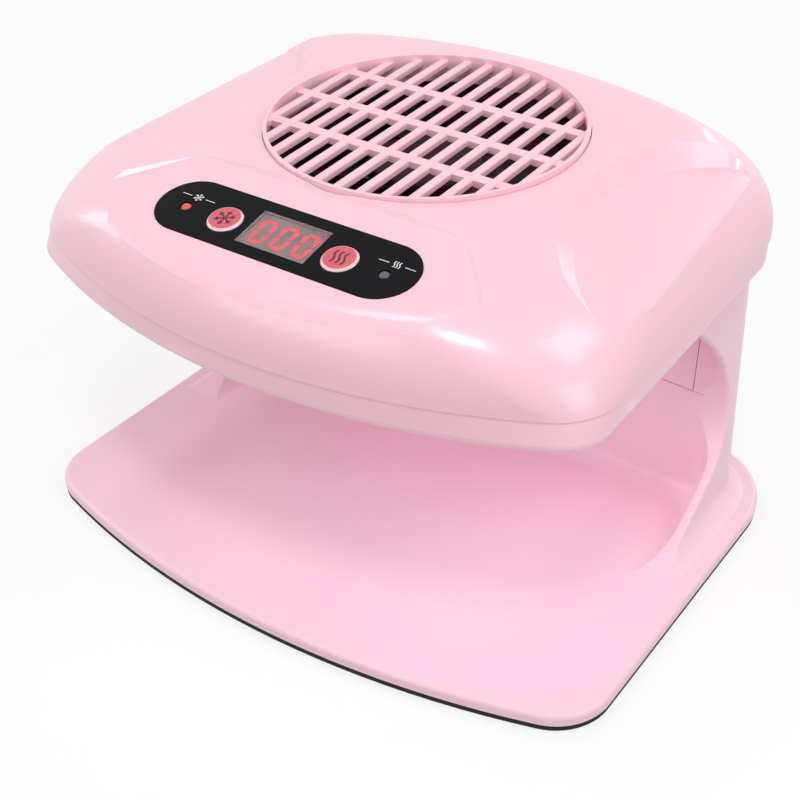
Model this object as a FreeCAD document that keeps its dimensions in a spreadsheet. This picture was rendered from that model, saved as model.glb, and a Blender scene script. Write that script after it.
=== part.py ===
import FreeCAD, Part
import math
import os
import Sketcher
from FreeCAD import Placement, Rotation, Vector

# Nail polish fan dryer: a C-shaped housing with a hand tray below and a blower head above.
# Frame: millimetres, +Z up, the control panel faces -Y, X = 0 is the plane of symmetry, and the
# rubber feet stand on Z = 0.

os.makedirs("parts", exist_ok=True)
doc = FreeCAD.newDocument("nail_dryer")

# ---------------------------------------------------------------- driving dimensions
sizes = {
    # base
    "base_width": 240.0,
    "base_front": 99.9,
    "base_rear": 91.5,
    "base_front_bow": 345.0,
    "base_rear_bow": 1500.0,
    "base_front_corner": 22.0,
    "base_rear_corner": 38.0,
    "foot_stand": 0.8,
    "plate_thickness": 2.2,
    "rim_height": 4.3,
    "rim_round": 1.8,
    "wall": 2.4,
    "floor_thinning": 0.7,
    "plate_inset": 0.25,
    "foot_diameter": 14.0,
    "foot_seat": 0.9,
    "foot_across": 98.0,
    "foot_front": 62.0,
    "foot_rear": 62.0,
    "base_screw_across": 60.0,
    "base_screw_front": 62.0,
    "base_screw_rear": 40.0,
    "base_screw_length": 2.6,
    "boss_diameter": 8.0,
    "foot_fit": 0.2,
    # column and hand bay
    "column_foot_width": 215.0,
    "column_top_width": 206.4,
    "column_rear": 78.5,
    "column_corner": 24.0,
    "column_flare": 8.5,
    "cavity_corner": 14.0,
    "cavity_draft": 0.4,
    "bay_foot_width": 208.0,
    "bay_top_width": 200.0,
    "bay_wall": 51.5,
    "bay_floor_round": 8.0,
    "bay_overrun": 30.0,
    "seam_height": 55.0,
    "seam_gap": 0.3,
    "seam_depth": 0.5,
    "lip_round": 1.3,
    "piece_gap": 0.3,
    "flare_sections": 6.0,
    "column_front_corner": 4.0,
    "lip_reach": 44.0,
    "lip_setback": 2.8,
    "lip_sweep": 1.0,
    "bay_corner": 8.5,
    "panel_rib_across": 60.0,
    "panel_rib_depth": 2.2,
    "flare_sink": 0.2,
    # head
    "head_depth": 210.0,
    "head_width": 218.6,
    "head_side_taper": 0.026,
    "head_front_bow": 207.0,
    "head_rear_bow": 174.5,
    "head_rear_bow_growth": 0.8,
    "head_front_corner": 24.0,
    "head_front_corner_growth": 2.05,
    "head_rear_corner": 26.6,
    "head_rear_corner_growth": 0.24,
    "corner_growth_height": 28.0,
    "head_underside": 107.4,
    "parting_height": 118.3,
    "head_top": 156.6,
    "front_fall": 27.0,
    "front_rise": 32.0,
    "front_start": 1.0,
    "side_fall": 50.0,
    "side_rise": 40.0,
    "side_start": 2.0,
    "rear_fall": 43.5,
    "rear_rise": 35.8,
    "rear_start": 0.0,
    "fall_limit": 0.8,
    "wall_section_step": 6.0,
    "wall_section_count": 8.0,
    "crown_across": 785.0,
    "crown_along": 1190.0,
    "crown_centre": 54.0,
    "shoulder_round": 12.0,
    "band_step": 0.5,
    "band_round": 3.0,
    "band_width": 218.2,
    "band_front_bow": 240.0,
    "band_front_corner": 15.0,
    "blend_overlap": 0.3,
    "crest_round": 9.0,
    "band_draft": 1.0,
    # control recess and panel
    "panel_tilt": 12.65,
    "panel_centre": 74.0,
    "panel_height": 145.0,
    "recess_top": 51.5,
    "recess_top_half": 52.0,
    "recess_corner": 16.0,
    "overlay_length": 98.5,
    "overlay_width": 25.2,
    "overlay_thickness": 0.8,
    "overlay_sink": 0.5,
    "overlay_fit": 0.15,
    "button_spacing": 44.7,
    "button_diameter": 11.9,
    "button_gap": 0.3,
    "button_proud": 0.6,
    "control_drop": 1.2,
    "button_travel": 0.6,
    "flange_thickness": 1.0,
    "flange_step": 1.3,
    "lamp_spacing": 77.2,
    "lamp_diameter": 3.6,
    "window_width": 26.6,
    "window_depth": 16.3,
    "board_drop": 9.5,
    "board_length": 98.0,
    "board_width": 24.0,
    "board_thickness": 1.6,
    "recess_spread": 0.83,
    "lamp_fit": 0.2,
    "switch_height": 3.4,
    "window_glass": 1.0,
    "panel_block_rear": 30.0,
    "recess_reach": 50.0,
    "board_post_diameter": 6.0,
    "board_hole_inset": 4.0,
    "board_hole_diameter": 2.6,
    "board_corner": 2.0,
    "button_bevel": 0.6,
    "stem_diameter": 3.2,
    "switch_width": 6.0,
    "plunger_height": 1.0,
    "plunger_diameter": 3.4,
    "display_margin": 1.0,
    "window_air": 0.2,
    "window_fit": 0.1,
    "lamp_collar": 0.4,
    "lamp_collar_height": 1.0,
    "lamp_bevel": 0.5,
    # side scoops
    "scoop_inner": 63.5,
    "scoop_rear": 60.0,
    "scoop_crest_height": 141.2,
    "scoop_crest_half": 97.0,
    "scoop_slope": 10.0,
    "scoop_pitch": 2.5,
    "scoop_radius": 84.0,
    "scoop_level": 153.0,
    "scoop_flank": 0.83,
    "scoop_corner": 9.0,
    "scoop_centre": 1.0,
    "scoop_rear_lean": 35.0,
    # intake grille
    "grille_centre": 5.1,
    "grille_height": 155.5,
    "grille_tilt": 2.44,
    "grille_diameter": 111.8,
    "grille_fit": 0.25,
    "grille_depth": 8.0,
    "grille_rim": 1.4,
    "slat_count": 13.0,
    "slat_pitch": 8.2,
    "slat_width": 3.2,
    "slat_depth": 2.4,
    "slat_sink": 1.6,
    "bar_count": 3.0,
    "bar_pitch": 22.8,
    "bar_width": 4.2,
    "bar_depth": 2.4,
    "bar_sink": 2.2,
    "grille_seat": 1.0,
    "slat_round": 0.9,
    # fan
    "fan_frame_size": 112.0,
    "fan_bore": 107.0,
    "fan_height": 20.0,
    "fan_bottom": 122.0,
    "fan_corner": 10.0,
    "fan_hole_pitch": 100.0,
    "hub_diameter": 40.0,
    "hub_wall": 1.5,
    "blade_count": 9.0,
    "blade_tip_gap": 1.2,
    "blade_thickness": 1.6,
    "blade_pitch": 32.0,
    "motor_diameter": 34.0,
    "shaft_diameter": 4.0,
    "shaft_running_gap": 0.05,
    "strut_width": 5.0,
    "strut_thickness": 3.0,
    "motor_height": 11.0,
    "blade_low": 4.5,
    "blade_high": 17.5,
    "blade_chord": 26.0,
    "hub_low": 4.0,
    "blade_sweep": 14.0,
    "blade_twist": 11.0,
    "strut_root": 1.0,
    "motor_seat_margin": 2.0,
    "motor_bevel": 1.0,
    # outlet, heater and lamps
    "outlet_diameter": 88.0,
    "outlet_ring_pitch": 8.0,
    "outlet_wire": 2.2,
    "outlet_thickness": 2.4,
    "heater_plate": 0.8,
    "heater_height": 7.5,
    "coil_section": 4.0,
    "coil_pitch": 10.0,
    "coil_count": 3.0,
    "coil_radius": 39.0,
    "coil_fit": 0.05,
    "heater_reach": 48.0,
    "lamp_ring_radius": 60.0,
    "lamp_count": 11.0,
    "lamp_sweep": 240.0,
    "lamp_board_half": 5.0,
    "diode_diameter": 5.0,
    "diode_proud": 0.3,
    "outlet_seat": 1.2,
    "spoke_count": 4.0,
    "outlet_rim": 3.0,
    "outlet_ledge": 2.0,
    "outlet_fit": 0.2,
    # mains inlet and power board
    "inlet_width": 26.0,
    "inlet_height": 17.0,
    "inlet_depth": 16.0,
    "inlet_offset": 58.0,
    "inlet_level": 25.0,
    "inlet_inset": 2.0,
    "inlet_fit": 0.2,
    "pin_spacing": 8.6,
    "pin_diameter": 2.36,
    "power_board_width": 120.0,
    "power_board_height": 62.0,
    "cable_slot_width": 40.0,
    "cable_slot_depth": 4.0,
    "cable_slot_inset": 5.0,
    "inlet_flange": 1.6,
    "socket_width": 15.6,
    "socket_height": 7.6,
    "socket_depth": 11.0,
    "board_standoff": 3.0,
    "power_board_offset": 22.0,
    "power_board_low": 20.0,
    "socket_waist": 0.7,
    "standoff_diameter": 6.0,
    "standoff_inset": 6.0,
    # screws and their holes
    "screw_diameter": 3.0,
    "screw_head": 5.6,
    "head_screw_front": 66.0,
    "head_screw_front_across": 88.0,
    "head_screw_rear": 89.0,
    "head_screw_rear_across": 45.0,
    "head_post_height": 28.0,
    "pilot_depth": 10.0,
    "screw_clearance": 0.2,
    "thread_fit": 0.1,
    "screw_head_height": 1.2,
    "head_screw_seat": 4.0,
    "head_screw_length": 14.0,
    "fan_screw_depth": 8.0,
    # cutting tools
    "cut_past": 20.0,
}

sheet = doc.addObject("Spreadsheet::Sheet", "Dimensions")
for row, (alias, value) in enumerate(sizes.items(), start=1):
    sheet.set("A%d" % row, alias)
    sheet.set("B%d" % row, str(value))
    sheet.setAlias("B%d" % row, alias)
doc.recompute()


def dim(alias):
    return float(sheet.get(alias))


def ref(text):
    """Turns {alias} in an expression into a reference to the sheet."""
    return text.replace("{", "Dimensions.").replace("}", "")


# ---------------------------------------------------------------- helpers for document objects
def feature(label, shape, placement=None):
    thing = doc.addObject("Part::Feature", label)
    thing.Label = label
    thing.Shape = shape
    if placement is not None:
        thing.Placement = placement
    return thing


def new_body(label, placement=None):
    body = doc.addObject("PartDesign::Body", label)
    body.Label = label
    if placement is not None:
        body.Placement = placement
    return body


def origin_plane(body, role):
    return [item for item in body.Origin.OriginFeatures if item.Role == role][0]


def new_sketch(body, name, plane="XY_Plane", level=None):
    sketch = body.newObject("Sketcher::SketchObject", name)
    sketch.AttachmentSupport = (origin_plane(body, plane), [""])
    sketch.MapMode = "FlatFace"
    if level is not None:
        sketch.setExpression("AttachmentOffset.Base.z", ref(level))
    return sketch


def bind(sketch, constraint, expression):
    index = sketch.addConstraint(constraint)
    sketch.setExpression("Constraints[%d]" % index, ref(expression))


def circle(sketch, radius, across="0", along="0"):
    edge = sketch.addGeometry(Part.Circle(Vector(0, 0, 0), Vector(0, 0, 1), 1), False)
    bind(sketch, Sketcher.Constraint("Radius", edge, 1), radius)
    bind(sketch, Sketcher.Constraint("DistanceX", -1, 1, edge, 3, 0), across)
    bind(sketch, Sketcher.Constraint("DistanceY", -1, 1, edge, 3, 0), along)


def polygon(sketch, corners):
    """A closed outline whose corners are pairs of expressions."""
    count = len(corners)
    turns = [2 * math.pi * i / count for i in range(count)]
    start = [Vector(math.cos(turn), math.sin(turn), 0) for turn in turns]
    for i in range(count):
        sketch.addGeometry(Part.LineSegment(start[i], start[(i + 1) % count]), False)
    first = sketch.GeometryCount - count
    for i, (across, along) in enumerate(corners):
        edge = first + i
        sketch.addConstraint(Sketcher.Constraint("Coincident", first + (i - 1) % count, 2, edge, 1))
        bind(sketch, Sketcher.Constraint("DistanceX", -1, 1, edge, 1, 0), across)
        bind(sketch, Sketcher.Constraint("DistanceY", -1, 1, edge, 1, 0), along)


def rectangle(sketch, width, height, across="0", along="0"):
    left, right = "%s - (%s) / 2" % (across, width), "%s + (%s) / 2" % (across, width)
    low, high = "%s - (%s) / 2" % (along, height), "%s + (%s) / 2" % (along, height)
    polygon(sketch, [(left, low), (right, low), (right, high), (left, high)])


def pad(body, sketch, length, name="Pad"):
    solid = body.newObject("PartDesign::Pad", name)
    solid.Profile = sketch
    solid.setExpression("Length", ref(length))
    body.Tip = solid
    return solid


def pocket(body, sketch, length, name="Pocket", upward=True):
    hole = body.newObject("PartDesign::Pocket", name)
    hole.Profile = sketch
    hole.Reversed = upward
    hole.setExpression("Length", ref(length))
    body.Tip = hole
    return hole


def revolution(body, sketch, name="Revolution"):
    solid = body.newObject("PartDesign::Revolution", name)
    solid.Profile = sketch
    solid.ReferenceAxis = (sketch, ["V_Axis"])
    solid.Angle = 360
    body.Tip = solid
    return solid


def round_edges(body, previous, radius, test, kind="Fillet"):
    """Rounds the edges of the previous feature that pass the test."""
    doc.recompute()
    names = ["Edge%d" % i for i, edge in enumerate(previous.Shape.Edges, start=1) if test(edge)]
    dress = body.newObject("PartDesign::" + kind, kind)
    dress.Base = (previous, names)
    dress.setExpression("Radius" if kind == "Fillet" else "Size", ref(radius))
    body.Tip = dress
    return dress


def turned(label, profile, placement=None):
    """A turned piece: its half section is drawn on the XZ plane as (radius, height) pairs."""
    body = new_body(label, placement)
    sketch = new_sketch(body, label + "_profile", "XZ_Plane")
    polygon(sketch, profile)
    revolution(body, sketch)
    return body


def is_upright(edge):
    return len(edge.Vertexes) == 2 and edge.BoundBox.XLength < 0.01 and edge.BoundBox.YLength < 0.01


def group(label, shapes, placement=None):
    return feature(label, Part.makeCompound(shapes), placement)


def edges_where(shape, test):
    return [edge for edge in shape.Edges if test(edge)]


def lowest(edge):
    return min(vertex.Point.z for vertex in edge.Vertexes)


def highest(edge):
    return max(vertex.Point.z for vertex in edge.Vertexes)


def disc(radius, height, at):
    return Part.makeCylinder(radius, height, at)


def block(width, depth, height, centre):
    """A box given by its plan centre and its lower face."""
    return Part.makeBox(width, depth, height, Vector(centre.x - width / 2, centre.y - depth / 2, centre.z))


def prism(wire, height):
    return Part.Face(wire).extrude(Vector(0, 0, height))


# ---------------------------------------------------------------- pieces on the power board
# Places are across and up from the board's lower middle; sizes are width, depth off the board and height.
transformer_core = (-30.0, 18.0, Vector(30, 14, 24))
transformer_winding = (-30.0, 15.0, Vector(20, 13, 30))
board_blocks = [(8.0, 12.0, Vector(18, 8, 12)), (40.0, 10.0, Vector(20, 10, 9))]
# Round pieces: across, up, radius and length.
capacitors = [(0.0, 40.0, 5.0, 13.0), (12.0, 40.0, 4.0, 11.0), (24.0, 40.0, 4.0, 11.0)]
board_fuse = (28.0, 30.0, 2.6, 20.0)


# ---------------------------------------------------------------- derived places
wall = dim("wall")
base_bottom = dim("foot_stand") + dim("plate_thickness")
rim_top = base_bottom + dim("rim_height")
underside = dim("head_underside")
parting = dim("parting_height")
axis_y = dim("grille_centre")
past = dim("cut_past")
span = 2 * dim("base_width")
inner_wall = dim("bay_wall") + wall
panel_frame = Placement(
    Vector(0, -dim("panel_centre"), dim("panel_height")),
    Rotation(Vector(1, 0, 0), dim("panel_tilt")),
)
grille_frame = Placement(
    Vector(0, axis_y, dim("grille_height")),
    Rotation(Vector(1, 0, 0), dim("grille_tilt")),
)


# ---------------------------------------------------------------- plan outlines
def housing_outline(level, front, rear, half, taper, front_bow, rear_bow, front_corner, rear_corner):
    """A closed plan outline: bowed front and rear, tapering straight sides and four round corners."""
    slant = math.hypot(1, taper)

    def corner(centre_y, bow, radius, sign):
        reach = half - radius * slant
        mixed = reach * taper + centre_y
        root = math.sqrt(mixed ** 2 - slant ** 2 * (reach ** 2 + centre_y ** 2 - (bow - radius) ** 2))
        y = (mixed + sign * root) / slant ** 2
        middle = Vector(reach - taper * y, y, level)
        bow_centre = Vector(0, centre_y, level)
        on_bow = bow_centre + (middle - bow_centre) * (bow / (bow - radius))
        on_side = middle + Vector(1, taper, 0) * (radius / slant)
        outward = (on_bow - middle) + (on_side - middle)
        return on_bow, middle + outward.normalize() * radius, on_side

    def mirror(point):
        return Vector(-point.x, point.y, point.z)

    f = corner(front_bow - front, front_bow, front_corner, -1)
    r = corner(rear - rear_bow, rear_bow, rear_corner, 1)
    return Part.Wire([
        Part.Arc(mirror(f[0]), Vector(0, -front, level), f[0]).toShape(),
        Part.Arc(*f).toShape(),
        Part.makeLine(f[2], r[2]),
        Part.Arc(r[2], r[1], r[0]).toShape(),
        Part.Arc(r[0], Vector(0, rear, level), mirror(r[0])).toShape(),
        Part.Arc(mirror(r[0]), mirror(r[1]), mirror(r[2])).toShape(),
        Part.makeLine(mirror(r[2]), mirror(f[2])),
        Part.Arc(mirror(f[2]), mirror(f[1]), mirror(f[0])).toShape(),
    ])


def base_outline(level, inset=0.0):
    return housing_outline(
        level, dim("base_front") - inset, dim("base_rear") - inset, dim("base_width") / 2 - inset, 0.0,
        dim("base_front_bow") - inset, dim("base_rear_bow") - inset,
        dim("base_front_corner") - inset, dim("base_rear_corner") - inset)


def wall_fall(side, rise):
    """How far a head wall leans in at a height above the parting line: an ellipse, then a slope."""
    reach, height = dim(side + "_fall"), dim(side + "_rise")
    share = max(0.0, rise - dim(side + "_start")) / height
    limit = dim("fall_limit")
    if share < limit:
        return reach * (1 - math.sqrt(1 - share ** 2))
    depth = math.sqrt(1 - limit ** 2)
    return reach * (1 - depth + (share - limit) * limit / depth)


def head_outline(level, inset=0.0, rise=0.0):
    """The head's outline, drawn in on each side as its pillowed wall rises above the parting line."""
    half_depth, half_width = dim("head_depth") / 2 - inset, dim("head_width") / 2 - inset
    growth = min(rise, dim("corner_growth_height"))
    return housing_outline(
        level, half_depth - wall_fall("front", rise), half_depth - wall_fall("rear", rise),
        half_width - wall_fall("side", rise), dim("head_side_taper"), dim("head_front_bow") - inset,
        dim("head_rear_bow") + dim("head_rear_bow_growth") * rise - inset,
        dim("head_front_corner") + dim("head_front_corner_growth") * growth - inset,
        dim("head_rear_corner") + dim("head_rear_corner_growth") * growth - inset)


def band_outline(level):
    """The lower edge of the head: squarer at the front corners than the parting line above it."""
    inset = dim("band_step") + dim("band_draft")
    return housing_outline(
        level, dim("head_depth") / 2 - inset, dim("head_depth") / 2 - inset, dim("band_width") / 2,
        dim("head_side_taper"), dim("band_front_bow"), dim("head_rear_bow") - inset, dim("band_front_corner"),
        dim("head_rear_corner") - inset)


def column_outline(level, half, outset=0.0):
    return housing_outline(
        level, dim("lip_reach") + outset, dim("column_rear") + outset, half + outset, 0.0,
        dim("base_rear_bow"), dim("base_rear_bow"), dim("column_front_corner") + outset,
        dim("column_corner") + outset)


# ---------------------------------------------------------------- base
def base_plate():
    """Flat bottom plate with the foot sockets and the screw holes."""
    level = dim("foot_stand")
    plate = prism(base_outline(level, dim("plate_inset")), dim("plate_thickness"))
    for x, y in foot_places():
        plate = plate.cut(disc(dim("foot_diameter") / 2, dim("foot_seat"), Vector(x, y, level)))
    for x, y in base_screw_places():
        plate = plate.cut(disc(dim("screw_head") / 2 + dim("screw_clearance"), dim("plate_thickness"),
                               Vector(x, y, level)))
    feature("base_plate", plate)


def foot_places():
    return [(side * dim("foot_across"), y) for side in (-1, 1)
            for y in (-dim("foot_front"), dim("foot_rear"))]


def base_screw_places():
    return [(side * dim("base_screw_across"), y) for side in (-1, 1)
            for y in (-dim("base_screw_front"), dim("base_screw_rear"))]


def feet():
    """Rubber feet: a tapered disc, its top held in the plate's socket."""
    names = ["foot_left_front", "foot_left_rear", "foot_right_front", "foot_right_rear"]
    top = "{foot_stand} + {foot_seat}"
    for name, (x, y) in zip(names, foot_places()):
        profile = [("0", "0"), ("{foot_diameter} / 2 - {foot_stand}", "0"),
                   ("{foot_diameter} / 2 - {foot_fit}", "{foot_stand}"),
                   ("{foot_diameter} / 2 - {foot_fit}", top), ("0", top)]
        turned(name, profile, Placement(Vector(x, y, 0), Rotation()))


def lip_curve(level_low, level_high):
    """Side view of the column's front lip, from the rim up to the head: a C open to the front."""
    rise = level_high - level_low
    back = dim("bay_wall") - dim("lip_setback")
    reach = [(-54.0, 0.0), (-35.0, 0.065), (-19.5, 0.15), (-6.0, 0.25), (0.0, 0.4), (-3.0, 0.585),
             (-13.0, 0.745), (-42.0, 1.0)]
    curve = Part.BSplineCurve()
    curve.interpolate([Vector(0, back + forward * dim("lip_sweep"), level_low + share * rise)
                       for forward, share in reach])
    return curve.toShape()


def bay_profile_cut(level_low, level_high):
    """The solid in front of the lip curve, across the whole width."""
    curve = lip_curve(level_low, level_high)
    first, last = curve.Vertexes[0].Point, curve.Vertexes[-1].Point
    ahead = -dim("base_front") - past
    outline = Part.Wire([curve, Part.makePolygon([
        last, Vector(0, last.y, level_high + past), Vector(0, ahead, level_high + past),
        Vector(0, ahead, level_low), first])])
    return Part.Face(outline).extrude(Vector(span, 0, 0)).translated(Vector(-span / 2, 0, 0))


def column_form():
    """The column standing on the plinth: a hollow-curved flare at its foot, then straight drafted walls."""
    foot_half, top_half = dim("column_foot_width") / 2, dim("column_top_width") / 2
    flare = dim("column_flare")
    sections = []
    for step in range(dim_count("flare_sections") + 1):
        turn = math.pi / 2 * step / dim_count("flare_sections")
        level = rim_top - dim("flare_sink") + flare * (1 - math.cos(turn))
        sections.append(column_outline(level, foot_half, flare * (1 - math.sin(turn))))
    flare_top = rim_top - dim("flare_sink") + flare
    foot = Part.makeLoft(sections, True, False)
    ends = [column_outline(flare_top, foot_half), column_outline(underside, top_half)]
    upright = Part.makeLoft(ends, True, True)
    return foot.fuse(upright)


def dim_count(alias):
    return int(round(dim(alias)))


def bay_half(level):
    """Half the width between the cheeks, which lean in towards the head."""
    share = (level - rim_top) / (underside - rim_top)
    return (dim("bay_foot_width") * (1 - share) + dim("bay_top_width") * share) / 2


def bay_outline(level, grow=0.0):
    """Plan of the space between the cheeks: open at the front, round corners at the rear."""
    ahead = dim("bay_overrun")
    return housing_outline(
        level, dim("base_front") + ahead, dim("bay_wall") + grow, bay_half(level) + grow, 0.0,
        dim("base_front_bow") + ahead, dim("base_rear_bow"), dim("base_front_corner"),
        dim("bay_corner") + grow)


def bay_tool():
    """The hand space: the plinth's top rounding up into the cheeks and the rear wall."""
    tool = Part.makeLoft([bay_outline(rim_top), bay_outline(underside + dim("bay_overrun"))], True, True)
    foot = edges_where(tool, lambda edge: highest(edge) < rim_top + 0.01)
    return tool.makeFillet(dim("bay_floor_round"), foot)


def column_cavity(level_low, level_high):
    """The hollow of the column behind the bay's rear wall."""
    inset = wall + dim("cavity_draft")
    hollow = prism(housing_outline(
        level_low, dim("lip_reach"), dim("column_rear") - inset, dim("column_top_width") / 2 - inset, 0.0,
        dim("base_rear_bow"), dim("base_rear_bow"), dim("cavity_corner"), dim("cavity_corner")),
        level_high - level_low)
    return hollow.common(Part.makeBox(span, span, span, Vector(-span / 2, inner_wall, 0)))


def column():
    """The column with its C-shaped cheeks, whose front lips are rounded."""
    form = column_form().cut(bay_profile_cut(rim_top, underside)).cut(bay_tool())
    lips = [face for face in form.Faces if face.Surface.TypeId == "Part::GeomSurfaceOfExtrusion"]
    edges = [edge for face in lips for edge in face.Edges if edge.BoundBox.YLength > past]
    return form.makeFillet(dim("lip_round"), edges)


def panel_half():
    return dim("bay_top_width") / 2 - dim("bay_corner")


def base_shell():
    """Tray, plinth, lower rear wall and the column's outer walls, moulded as one hollow piece."""
    plinth = prism(base_outline(base_bottom), dim("rim_height"))
    rim = edges_where(plinth, lambda edge: lowest(edge) > rim_top - 0.01)
    plinth = plinth.makeFillet(dim("rim_round"), rim)
    shell = plinth.fuse(column())
    hollow_height = rim_top - wall - base_bottom + dim("floor_thinning")
    low = prism(base_outline(base_bottom, wall), hollow_height)
    for x, y in foot_places() + base_screw_places():
        low = low.cut(disc(dim("boss_diameter") / 2, hollow_height, Vector(x, y, base_bottom)))
    opening = block(2 * panel_half(), 4 * wall, underside - dim("seam_height") + 1,
                    Vector(0, inner_wall - wall, dim("seam_height")))
    seam = prism(bay_outline(dim("seam_height"), dim("seam_depth")), dim("seam_gap"))
    shell = shell.cut([low, column_cavity(base_bottom, underside + 1), opening, seam, inlet_opening()])
    for x, y in base_screw_places():
        pilot = disc(dim("screw_diameter") / 2, dim("base_screw_length"), Vector(x, y, base_bottom))
        shell = shell.cut(pilot)
    feature("base_shell", shell)


def column_panel():
    """Upper rear wall of the hand space, from the seam to the underside of the head."""
    low = dim("seam_height") + dim("seam_gap")
    width = 2 * panel_half() - 2 * dim("piece_gap")
    height = underside - low
    panel = block(width, 4 * wall, height, Vector(0, inner_wall - 2 * wall, low))
    panel = panel.cut(prism(bay_outline(low), height))
    depth = dim("panel_rib_depth")
    for side in (-1, 1):
        panel = panel.fuse(block(wall, depth, height - 4 * wall, Vector(
            side * dim("panel_rib_across"), inner_wall + depth / 2, low + 2 * wall)))
    feature("column_panel", panel)


# ---------------------------------------------------------------- head shells
def head_loft(inset, bottom):
    """The pillowed walls of the head, carried up past the crown."""
    step = dim("wall_section_step")
    rises = [bottom - parting] + [step * i for i in range(1, dim_count("wall_section_count") + 1)]
    return Part.makeLoft([head_outline(parting + rise, inset, rise) for rise in rises], True, False)


def crown(inset):
    """A large barrel whose top is bowed both across and along the head."""
    across, along = dim("crown_across") - inset, dim("crown_along") - inset
    y, top = dim("crown_centre"), dim("head_top") - inset
    reach = dim("head_width") / 2 + past
    low, edge = top - dim("head_width") / 2, top - across + math.sqrt(across ** 2 - reach ** 2)
    bow = Part.Arc(Vector(-reach, y, edge), Vector(0, y, top), Vector(reach, y, edge)).toShape()
    rest = Part.makePolygon([Vector(reach, y, edge), Vector(reach, y, low), Vector(-reach, y, low),
                             Vector(-reach, y, edge)])
    section = Part.Face(Part.Wire([bow] + rest.Edges))
    half = dim("head_depth") / 2 + past
    ahead, behind = (math.degrees(math.asin((half + side * y) / along)) for side in (1, -1))
    axis, swing = Vector(0, y, top - along), Vector(1, 0, 0)
    section.rotate(axis, swing, ahead)
    return section.revolve(axis, swing, -ahead - behind)


def below_plane(point, slope_across, slope_along):
    """A large block whose top face is the plane through the point with the two slopes."""
    normal = Vector(-math.tan(math.radians(slope_across)), -math.tan(math.radians(slope_along)), 1)
    slab = Part.makeBox(span, span, span, Vector(-span / 2, -span / 2, -span))
    slab.Placement = Placement(point, Rotation(Vector(0, 0, 1), normal))
    return slab


def panel_block(inset, bottom):
    """The front of the head with the flat control slope for its top."""
    ahead = Part.makeBox(span, span, span, Vector(-span / 2, -dim("panel_block_rear") - span, 0))
    front = head_loft(inset - dim("blend_overlap"), bottom).common(ahead)
    slope = front.common(below_plane(panel_frame.multVec(Vector(0, 0, -inset)), 0, dim("panel_tilt")))
    soft = dim("shoulder_round")
    rim = edges_where(slope, lambda edge: lowest(edge) > parting + soft / 2
                      and edge.BoundBox.YMin < -dim("panel_block_rear") - 1)
    return slope.makeFillet(soft - inset, rim)


def scoop_block(inset, bottom):
    """The head with a flat facet along each side for its top and a rounded crest outside it."""
    form = head_loft(inset - dim("blend_overlap"), bottom)
    for side in (1, -1):
        crest = Vector(side * dim("scoop_crest_half"), 0, dim("scoop_crest_height") - inset)
        form = form.common(below_plane(crest, -side * dim("scoop_slope"), dim("scoop_pitch")))
    soft = dim("crest_round")
    rim = edges_where(form, lambda edge: lowest(edge) > parting + soft / 3 and abs(edge.BoundBox.Center.x) > 1)
    return form.makeFillet(soft - inset, rim)


def scoop_tool(side, inset):
    """The hollow over one facet: a sloping round wall inside, a sloping straight one behind."""
    radius, level, flank = dim("scoop_radius"), dim("scoop_level"), dim("scoop_flank")
    low, high = parting - past, level + past
    grow = inset * math.hypot(1, flank)
    cone = Part.makeCone(radius - flank * (level - low) + grow, radius + flank * (high - level) + grow,
                         high - low, Vector(side * (dim("scoop_inner") + radius), -dim("scoop_centre"), low))
    back = Part.makeBox(span, span, span, Vector(-span / 2, -span, -span / 2))
    back.Placement = Placement(Vector(0, dim("scoop_rear") + grow, level),
                               Rotation(Vector(1, 0, 0), -dim("scoop_rear_lean")))
    tool = cone.common(back)
    corner = edges_where(tool, lambda edge: edge.BoundBox.ZLength > past and edge.BoundBox.YMax > past
                         and abs(edge.BoundBox.Center.x) < dim("scoop_inner") + radius)
    return tool.makeFillet(dim("scoop_corner") + inset, corner[:1])


def recess_tool(inset):
    """The control recess seen along the panel's normal: a trapezium with sloping walls."""
    tilt = math.cos(math.radians(dim("panel_tilt")))
    top = (dim("panel_centre") - dim("recess_top")) / tilt
    low = -dim("recess_reach")

    def section(out, grow):
        near = dim("recess_top_half") + grow
        far = near + dim("recess_spread") * (top - low)
        high = top + grow
        return Part.makePolygon([Vector(-near, high, out), Vector(-far, low, out), Vector(far, low, out),
                                 Vector(near, high, out), Vector(-near, high, out)])

    tool = Part.makeLoft([section(out, inset + out) for out in (-past / 3, past)], True, True)
    tool = tool.makeFillet(dim("recess_corner") + inset, edges_where(
        tool, lambda edge: edge.BoundBox.ZLength > past and edge.BoundBox.YMax > past))
    tool.Placement = panel_frame.multiply(Placement(Vector(0, 0, -inset), Rotation()))
    return tool


def head_form(inset, bottom):
    """The crowned head with its control recess and side scoops, drawn in all round by the inset."""
    deck = head_loft(inset, bottom).common(crown(inset))
    deck = deck.makeFillet(dim("shoulder_round") - inset, edges_where(
        deck, lambda edge: lowest(edge) > parting + 1.5 * dim("shoulder_round")))
    deck = deck.cut(recess_tool(inset).cut(panel_block(inset, bottom - wall)))
    facets = scoop_block(inset, bottom - wall)
    for side in (1, -1):
        deck = deck.cut(scoop_tool(side, inset).cut(facets))
    return deck


def overlay_outline(grow, out):
    """The stadium outline of the control overlay in the panel's frame."""
    radius = dim("overlay_width") / 2 + grow
    reach = (dim("overlay_length") - dim("overlay_width")) / 2
    return Part.Wire([
        Part.makeLine(Vector(-reach, -radius, out), Vector(reach, -radius, out)),
        Part.Arc(Vector(reach, -radius, out), Vector(reach + radius, 0, out),
                 Vector(reach, radius, out)).toShape(),
        Part.makeLine(Vector(reach, radius, out), Vector(-reach, radius, out)),
        Part.Arc(Vector(-reach, radius, out), Vector(-reach - radius, 0, out),
                 Vector(-reach, -radius, out)).toShape(),
    ])


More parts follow.
